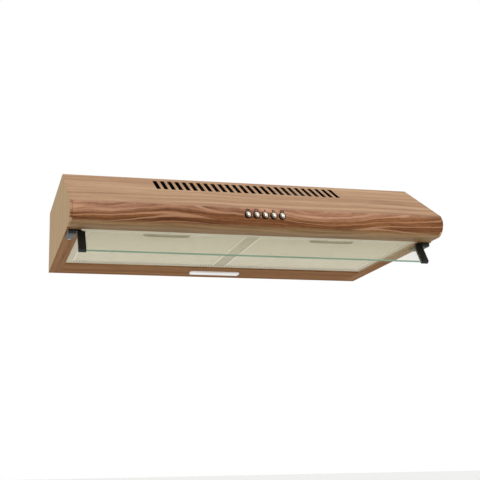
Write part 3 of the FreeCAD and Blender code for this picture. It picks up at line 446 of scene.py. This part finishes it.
for part in frame["record"]["subparts"]:
    mesh = NODES[part["node"]].data
    mesh.materials.clear()
    mesh.materials.append(FINISHES[part["material_slot"]])

# %% [markdown]
# ## Ways to shape a piece
# Most rebuilt parts start as a simple block, a swept outline or a turned profile, and get their
# character from rounded edges: real edges are never perfectly sharp, and a rounded one catches
# the light. A finished piece sits untransformed at the origin, rides on the body it belongs to
# and takes the place of the exact part of the same name.

# %% Shaping helpers


def slab(shape, low, high, soft=0.0, segments=2):
    """A block between two corners with every edge rounded."""
    low, high = Vector(low), Vector(high)
    made = bmesh.ops.create_cube(shape, size=1.0)["verts"]
    bmesh.ops.scale(shape, verts=made, vec=high - low)
    bmesh.ops.translate(shape, verts=made, vec=(low + high) / 2)
    edges = {edge for vert in made for edge in vert.link_edges}
    if soft:
        round_edges(shape, edges, soft, segments)
    return made


def round_edges(shape, edges, soft, segments=2):
    """Edges rounded to a radius, in the finish of the faces beside them."""
    style = {"profile": 0.5, "affect": "EDGES", "material": -1}
    bmesh.ops.bevel(shape, geom=list(edges), offset=soft, segments=segments, **style)


def swept(shape, points, path, finish_index=0):
    """A flat outline, closed with a face and pushed along a path."""
    ring = [shape.verts.new(point) for point in points]
    face = shape.faces.new(ring)
    face.material_index = finish_index
    pushed = bmesh.ops.extrude_face_region(shape, geom=[face])["geom"]
    moved = [item for item in pushed if isinstance(item, bmesh.types.BMVert)]
    bmesh.ops.translate(shape, verts=moved, vec=path)
    return ring + moved


def turned(shape, profile, centre, axis, steps=32):
    """A profile of (radius, distance along the axis) points, turned once round the axis."""
    axis = Vector(axis)
    across = axis.orthogonal().normalized()
    ring = [shape.verts.new(Vector(centre) + across * radius + axis * reach) for radius, reach in profile]
    edges = [shape.edges.new(pair) for pair in zip(ring, ring[1:])]
    once = {"cent": centre, "axis": axis, "angle": math.tau, "steps": steps, "use_merge": True}
    bmesh.ops.spin(shape, geom=ring + edges, **once)


def piece(name, shape, slot, body, *replaced, paint=None, more=(), turn=None, crease=32):
    """A finished piece from a shape: cleaned, smoothed, painted and put on its body."""
    if turn is not None:
        bmesh.ops.transform(shape, verts=shape.verts, matrix=turn)
    bmesh.ops.remove_doubles(shape, verts=shape.verts, dist=1e-6)
    bmesh.ops.recalc_face_normals(shape, faces=shape.faces)
    mesh = bpy.data.meshes.new(name)
    shape.to_mesh(mesh)
    shape.free()
    for finish in (paint or FINISHES[slot], *more):
        mesh.materials.append(finish)
    mesh.polygons.foreach_set("use_smooth", [True] * len(mesh.polygons))
    mesh.set_sharp_from_angle(angle=math.radians(crease))
    made = bpy.data.objects.new(name, mesh)
    scene.collection.objects.link(made)
    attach(made, body)
    if replaced:
        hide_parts(*replaced)
    print(name, len(mesh.polygons), "faces")
    return made


# %% [markdown]
# ## The visor
# A pane of 4 mm glass hangs between two plastic arms, and a cook tilts it to catch steam. Real
# float glass is nearly clear through its face and green through its edge, because light
# travels a long way sideways in it. The pane therefore has two finishes: a thin clear one for
# the faces, and a green one for the edges.

# %% Where the visor hangs
PIVOT = Vector(next(joint["pos_m"] for joint in frame["joints"] if joint["name"] == "visor_tilt"))
VISOR_TILT = math.radians(54)
LEAN = Matrix.Translation(PIVOT) @ Matrix.Rotation(VISOR_TILT, 4, "X")


# %% Glass pane
GLASS_HALF, GLASS_UP, GLASS_DOWN, GLASS_THICK = 0.322, 0.005, -0.048, 0.004
shape = bmesh.new()
slab(shape, (-GLASS_HALF, GLASS_DOWN, -GLASS_THICK / 2), (GLASS_HALF, GLASS_UP, GLASS_THICK / 2), 0.0004, 1)
for face in shape.faces:
    face.material_index = 0 if abs(face.normal.z) > 0.9 or face.normal.y > 0.5 else 1
piece("glass_pane", shape, "visor_glass", "visor", "visor_glass", more=[pane_edge()], turn=LEAN)

# %% [markdown]
# ### Arms and blocks
# Each arm is a moulded strap with a groove for the pane's end and an eye for its pin. The block
# it hangs from is screwed under the rail: its thick front holds the pin, and its thin rounded
# tail carries the screws. Both are black, slightly glossy plastic with small radii.

# %% Arms
ARM_IN, ARM_OUT, ARM_HALF, REACH, GRIP = 0.317, 0.331, 0.0035, 0.0495, 0.005
for name, side in (("left", -1), ("right", 1)):
    shape = bmesh.new()
    inner, outer, groove = side * ARM_IN, side * ARM_OUT, side * (ARM_IN + GRIP)
    half_glass = GLASS_THICK / 2
    section = [(inner, ARM_HALF), (outer, ARM_HALF), (outer, -ARM_HALF), (inner, -ARM_HALF)]
    section += [(inner, -half_glass), (groove, -half_glass), (groove, half_glass), (inner, half_glass)]
    swept(shape, [(x, 0.0, z) for x, z in section], (0, 0.0015 - REACH, 0))
    slab(shape, (min(inner, outer), -REACH, -ARM_HALF), (max(inner, outer), 0.0014 - REACH, ARM_HALF), 0.0004)
    eye_start = groove if side > 0 else outer
    eye = [(0.0, 0.0), (0.0036, 0.0), (0.004, 0.0005), (0.004, 0.0085), (0.0036, 0.009), (0.0, 0.009)]
    turned(shape, eye, (eye_start, 0, 0), (1, 0, 0), 24)
    piece("arm_" + name, shape, "black_plastic", "visor", "visor_arm_" + name, turn=LEAN)

# %% Blocks
BLOCK_LONG, BASE_HIGH = 0.035, 0.004
for name in ("left", "right"):
    low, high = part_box("visor_block_" + name)
    near, front, under = low
    far, back, BOTTOM = high
    shape = bmesh.new()
    made = slab(shape, (near, front + 0.02, BOTTOM - BASE_HIGH), (far, back, BOTTOM))
    rear = [edge for vert in made for edge in vert.link_edges if all(v.co.y > back - 0.01 for v in edge.verts)]
    rear = {edge for edge in rear if abs(edge.verts[0].co.z - edge.verts[1].co.z) > 0.001}
    round_edges(shape, rear, 0.0065, 6)
    foot = BOTTOM - BASE_HIGH + 1e-5
    below = [edge for edge in shape.edges if all(vert.co.z < foot for vert in edge.verts)]
    round_edges(shape, below, 0.0008, 2)
    slab(shape, (near, front, under), (far, front + BLOCK_LONG, BOTTOM), 0.0012, 3)
    piece("block_" + name, shape, "black_plastic", "hood", "visor_block_" + name)

# %% [markdown]
# ## The push buttons
# Each button is a turned metal cap: a gently domed face, a rounded rim and a straight skirt that
# slides in the front. A spun profile makes all of that at once.

# %% Buttons
BUTTONS = [f"button_{number}" for number in range(1, 6)]
CAP = [(0.0, 0.0), (0.0018, 0.00014), (0.0033, 0.0006), (0.0045, 0.0013), (0.0053, 0.0023), (0.00575, 0.0036)]
SKIRT = [(0.00575, 0.0135), (0.0015, 0.0135), (0.0015, 0.0305), (0.0, 0.0305)]
CENTRES = []
for button in BUTTONS:
    low, high = map(Vector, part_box(button))
    centre = (low + high) / 2
    centre.y = low.y
    CENTRES.append(centre)
    shape = bmesh.new()
    turned(shape, CAP + SKIRT, centre, (0, 1, 0), 40)
    piece(button.replace("button", "cap"), shape, "button_chrome", button, button, crease=40)

# %% [markdown]
# ### Symbols above the buttons
# A small mark is printed above each button: a lamp, a zero for off, and one, two and three bars
# for the fan's speeds. They are made as ink lines 0.15 mm proud, laid on the nose's upper curve.

# %% Symbols
NOSE_UPPER, NOSE_Y = 0.017, -0.318
SYMBOL_LEAN = math.radians(33)
INK = plain("ink", srgb(52, 26, 24), 0.6, shine=0.1)


def ink_line(shape, start, end, width=0.0006):
    """A thin flat bar between two points of the mark's own plane."""
    start, end = Vector((*start, 0)), Vector((*end, 0))
    line = end - start
    side = line.orthogonal() if line.length == 0 else Vector((-line.y, line.x, 0)).normalized() * width / 2
    swept(shape, [start - side, end - side, end + side, start + side], (0, 0, 0.00015))


def ink_ring(shape, radius, x=0.0, y=0.0, steps=10, share=1.0):
    turns = [math.tau * share * step / steps for step in range(steps + 1)]
    points = [(x + radius * math.sin(turn), y + radius * math.cos(turn)) for turn in turns]
    for first, second in zip(points, points[1:]):
        ink_line(shape, first, second, 0.0007)


shape = bmesh.new()
for number in range(1, 6):
    mark = bmesh.new()
    if number == 1:
        ink_ring(mark, 0.0012)
        for turn in range(0, 360, 60):
            ray = Vector((math.sin(math.radians(turn)), math.cos(math.radians(turn))))
            ink_line(mark, ray * 0.0017, ray * 0.0026, 0.0006)
    elif number == 2:
        ink_ring(mark, 0.0019)
    else:
        for bar in range(number - 2):
            x = (bar - (number - 3) / 2) * 0.0016
            ink_line(mark, (x, -0.0019), (x, 0.0019), 0.0009)
    bmesh.ops.scale(mark, verts=mark.verts, vec=(1.8, 1.5, 1))
    lean = Matrix.Rotation(math.radians(90) - SYMBOL_LEAN, 4, "X")
    foot = Vector((CENTRES[number - 1].x, NOSE_Y, CENTRES[number - 1].z))
    out = Vector((0, -math.cos(SYMBOL_LEAN), math.sin(SYMBOL_LEAN))) * (NOSE_UPPER + 0.00005)
    bmesh.ops.transform(mark, verts=mark.verts, matrix=Matrix.Translation(foot + out) @ lean)
    holder = bpy.data.meshes.new("mark")
    mark.to_mesh(holder)
    mark.free()
    shape.from_mesh(holder)
    bpy.data.meshes.remove(holder)
piece("symbols", shape, "black_plastic", "hood", paint=INK)

# %% [markdown]
# ## The lamp's diffuser
# The diffuser is a pressed opal cap that stands a few millimetres proud of the rear panel. Its
# lower edge is well rounded, as pressed plastic is, and its corners have a larger radius.

# %% Diffuser
LAMP_CORNER = 0.006
low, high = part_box("lamp_lens")
LAMP_LEVEL = low[2]
shape = bmesh.new()
slab(shape, low, (high[0], high[1], BOTTOM))
upright = [edge for edge in shape.edges if abs(edge.verts[0].co.z - edge.verts[1].co.z) > 0.001]
round_edges(shape, upright, LAMP_CORNER, 6)
below = [edge for edge in shape.edges if all(vert.co.z < LAMP_LEVEL + 1e-5 for vert in edge.verts)]
round_edges(shape, below, 0.0022, 4)
LAMP_STEP, LAMP_NECK = 0.003, 0.004
neck_low = (low[0] + LAMP_STEP, low[1] + LAMP_STEP, BOTTOM)
neck_high = (high[0] - LAMP_STEP, high[1] - LAMP_STEP, BOTTOM + LAMP_NECK)
slab(shape, neck_low, neck_high, 0.0004, 1)
piece("diffuser", shape, "lamp_white", "hood", "lamp_lens")

# %% [markdown]
# ## The grease filters
# A filter is a folded aluminium frame round several layers of expanded mesh. Expanded mesh is a
# sheet that is slit and pulled open into rows of diamonds. It can be made the same way here: a
# grid turned by an eighth and stretched gives diamonds, each one is inset, and its middle goes.
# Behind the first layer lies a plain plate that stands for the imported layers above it.

# %% Mesh layers
BORDER = 0.005
(INSIDE, FRONT, TRAY), (OUTSIDE, REAR, TOP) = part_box("filter_frame_right")
handle_low, handle_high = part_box("filter_handle_right")
HANDLE_Y = (handle_low[1] + handle_high[1]) / 2
HANDLE_LONG, HANDLE_WIDE = handle_high[0] - handle_low[0], handle_high[1] - handle_low[1]
CELL_LONG, CELL_WIDE, STRAND = 0.0085, 0.0052, 0.0007
PLATE_UNDER, PLATE_OVER = TRAY + 0.0019, TRAY + 0.0030
PLATE_GAP_LONG, PLATE_GAP_WIDE = 0.0445, 0.0105


def diamonds(shape, low, high):
    """Expanded mesh cut to a rectangle."""
    span = max(high[0] - low[0], (high[1] - low[1]) * CELL_LONG / CELL_WIDE)
    count = int(span * math.sqrt(2) / (CELL_LONG / math.sqrt(2))) + 4
    side = CELL_LONG / math.sqrt(2)
    made = bmesh.ops.create_grid(shape, x_segments=count, y_segments=count, size=count * side / 2)["verts"]
    bmesh.ops.rotate(shape, verts=made, cent=(0, 0, 0), matrix=Matrix.Rotation(math.radians(45), 3, "Z"))
    bmesh.ops.scale(shape, verts=made, vec=(1, CELL_WIDE / CELL_LONG, 1))
    middle = Vector(((low[0] + high[0]) / 2, (low[1] + high[1]) / 2, low[2]))
    bmesh.ops.translate(shape, verts=made, vec=middle)
    cuts = ((low, (-1, 0, 0)), (low, (0, -1, 0)), (high, (1, 0, 0)), (high, (0, 1, 0)))
    for point, away in cuts:
        everything = list(shape.verts) + list(shape.edges) + list(shape.faces)
        bmesh.ops.bisect_plane(shape, geom=everything, plane_co=point, plane_no=away, clear_outer=True)


def outside_handle(x, y, middle):
    """True away from the round-ended hole for the handle."""
    reach = max(abs(x - middle) - (HANDLE_LONG - HANDLE_WIDE) / 2, 0.0)
    return math.hypot(reach, y - HANDLE_Y) > HANDLE_WIDE / 2 + 0.0005


for name, side in (("left", -1), ("right", 1)):
    middle = side * (INSIDE + OUTSIDE) / 2
    half = (OUTSIDE - INSIDE) / 2 - BORDER + 0.0005
    low = (middle - half, FRONT + BORDER - 0.0005, TRAY + 0.0015)
    high = (middle + half, REAR - BORDER + 0.0005, TRAY + 0.0015)
    shape = bmesh.new()
    diamonds(shape, low, high)
    gone = [face for face in shape.faces if not outside_handle(*face.calc_center_median().xy, middle)]
    bmesh.ops.delete(shape, geom=gone, context="FACES")
    cells = list(shape.faces)
    bmesh.ops.inset_individual(shape, faces=cells, thickness=STRAND / 2, depth=0.0, use_even_offset=True)
    bmesh.ops.delete(shape, geom=[face for face in cells if face.is_valid], context="FACES")
    bmesh.ops.solidify(shape, geom=list(shape.faces), thickness=0.0003)
    left_of, right_of = middle - PLATE_GAP_LONG, middle + PLATE_GAP_LONG
    before, behind = HANDLE_Y - PLATE_GAP_WIDE, HANDLE_Y + PLATE_GAP_WIDE
    slab(shape, (low[0], behind, PLATE_UNDER), (high[0], high[1], PLATE_OVER))
    slab(shape, (low[0], low[1], PLATE_UNDER), (left_of, behind, PLATE_OVER))
    slab(shape, (right_of, low[1], PLATE_UNDER), (high[0], behind, PLATE_OVER))
    slab(shape, (left_of, low[1], PLATE_UNDER), (right_of, before, PLATE_OVER))
    piece("mesh_" + name, shape, "filter_mesh", "filter_" + name, "filter_mesh_" + name)

# %% [markdown]
# ### Filter frames
# The frame is folded from a strip, so its edges are soft. Along the rear edge a row of small
# punched slots lets grease drain. The rear bar's underside starts as a grid, and every other
# middle cell of the grid is pushed up to make a slot. Each slot is a shallow blind pocket, and
# its floor and walls are painted near-black as the shade inside a hole.

# %% Frames
SLOT_PITCH, SLOT_LONG, SLOT_DEEP, REAR_BAR = 0.0057, 0.0060, 0.002, 0.010
for name, side in (("left", -1), ("right", 1)):
    low_x, high_x = sorted((side * INSIDE, side * OUTSIDE))
    shape = bmesh.new()
    slab(shape, (low_x, FRONT, TRAY), (high_x, FRONT + BORDER, TOP), 0.0007)
    for start, end in ((low_x, low_x + BORDER), (high_x - BORDER, high_x)):
        slab(shape, (start, FRONT + BORDER - 0.001, TRAY), (end, REAR - REAR_BAR + 0.001, TOP), 0.0007)
    count = int((high_x - low_x) / SLOT_PITCH) * 2 + 1
    made = bmesh.ops.create_grid(shape, x_segments=count, y_segments=3, size=0.5)["verts"]
    bmesh.ops.scale(shape, verts=made, vec=(high_x - low_x, REAR_BAR, 1))
    for vert in made:
        if abs(vert.co.y) < REAR_BAR / 4:
            vert.co.y = math.copysign(SLOT_LONG / 2, vert.co.y)
    bmesh.ops.translate(shape, verts=made, vec=((low_x + high_x) / 2, REAR - REAR_BAR / 2, TRAY))
    bottom = [face for face in shape.faces if all(vert in set(made) for vert in face.verts)]
    rim = [edge for edge in shape.edges if edge.is_boundary]
    pushed = bmesh.ops.extrude_edge_only(shape, edges=rim)["geom"]
    raised = [item for item in pushed if isinstance(item, bmesh.types.BMVert)]
    bmesh.ops.translate(shape, verts=raised, vec=(0, 0, TOP - TRAY))
    bmesh.ops.contextual_create(shape, geom=[item for item in pushed if isinstance(item, bmesh.types.BMEdge)])
    width = (high_x - low_x) / count
    slots = []
    for face in bottom:
        centre = face.calc_center_median()
        column = int((centre.x - low_x) / width)
        if column % 2 and abs(centre.y - (REAR - REAR_BAR / 2)) < 0.0005:
            slots.append(face)
    # painted shade: each slot's floor and walls take the near-black plastic, for the dark inside a hole
    painted_shade_wells = bmesh.ops.extrude_discrete_faces(shape, faces=slots)["faces"]
    for face in painted_shade_wells:
        face.material_index = 1
        bmesh.ops.translate(shape, verts=face.verts, vec=(0, 0, SLOT_DEEP))
        for edge in face.edges:
            for wall in edge.link_faces:
                wall.material_index = 1
    labels = ("filter_aluminium", "filter_" + name, "filter_frame_" + name)
    piece("frame_" + name, shape, *labels, more=[FINISHES["blower_plastic"]])

# %% [markdown]
# ## The springs
# A coil spring is round wire wound on a mandrel. Spinning a small circle round an axis while it
# also creeps along that axis winds the same shape. A spring is squeezed between a moving part
# and a fixed one.

# %% Springs
SPRING_STEPS, TURNS = 20, 4
BUTTON_TRAVEL, LATCH_TRAVEL = 0.003, 0.004


def coil(shape, start, radius, wire, length):
    """A closed wire coil from start towards +Y."""
    start = Vector(start)
    ring = bmesh.ops.create_circle(shape, segments=8, radius=wire / 2)["verts"]
    bmesh.ops.translate(shape, verts=ring, vec=start + Vector((radius, wire / 2, 0)))
    edges = {edge for vert in ring for edge in vert.link_edges}
    steps = SPRING_STEPS * TURNS
    creep = (0, (length - wire) / steps, 0)
    wound = {"cent": start, "axis": (0, 1, 0), "dvec": creep, "angle": math.tau * TURNS, "steps": steps}
    bmesh.ops.spin(shape, geom=ring + list(edges), **wound)
    bmesh.ops.holes_fill(shape, edges=[edge for edge in shape.edges if edge.is_boundary])


def spring(name, start, rear, radius, wire, joint, travel, *labels):
    """A coil from its moving front end to its fixed rear end; the joint is not used."""
    length = rear - start.y
    shape = bmesh.new()
    coil(shape, start, radius, wire, length)
    made = piece(name, shape, "spring_steel", *labels)
    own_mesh(made)


low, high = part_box("button_springs")
for button, centre in zip(BUTTONS, CENTRES):
    start = Vector((centre.x, low[1], centre.z))
    name, press = button.replace("button", "spring"), button + "_press"
    spring(name, start, high[1], 0.00215, 0.0008, press, BUTTON_TRAVEL, "hood", "button_springs")
for side in ("left", "right"):
    low, high = map(Vector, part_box("latch_spring_" + side))
    start = (low + high) / 2
    start.y = low.y
    labels = ("filter_" + side, "latch_spring_" + side)
    slide = f"latch_{side}_slide"
    spring("latch_coil_" + side, start, high.y, 0.0014, 0.0006, slide, LATCH_TRAVEL, *labels)

# %% [markdown]
# ## The end
# The finished model's bounds are measured.

# %% Size of the finished model
low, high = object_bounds()
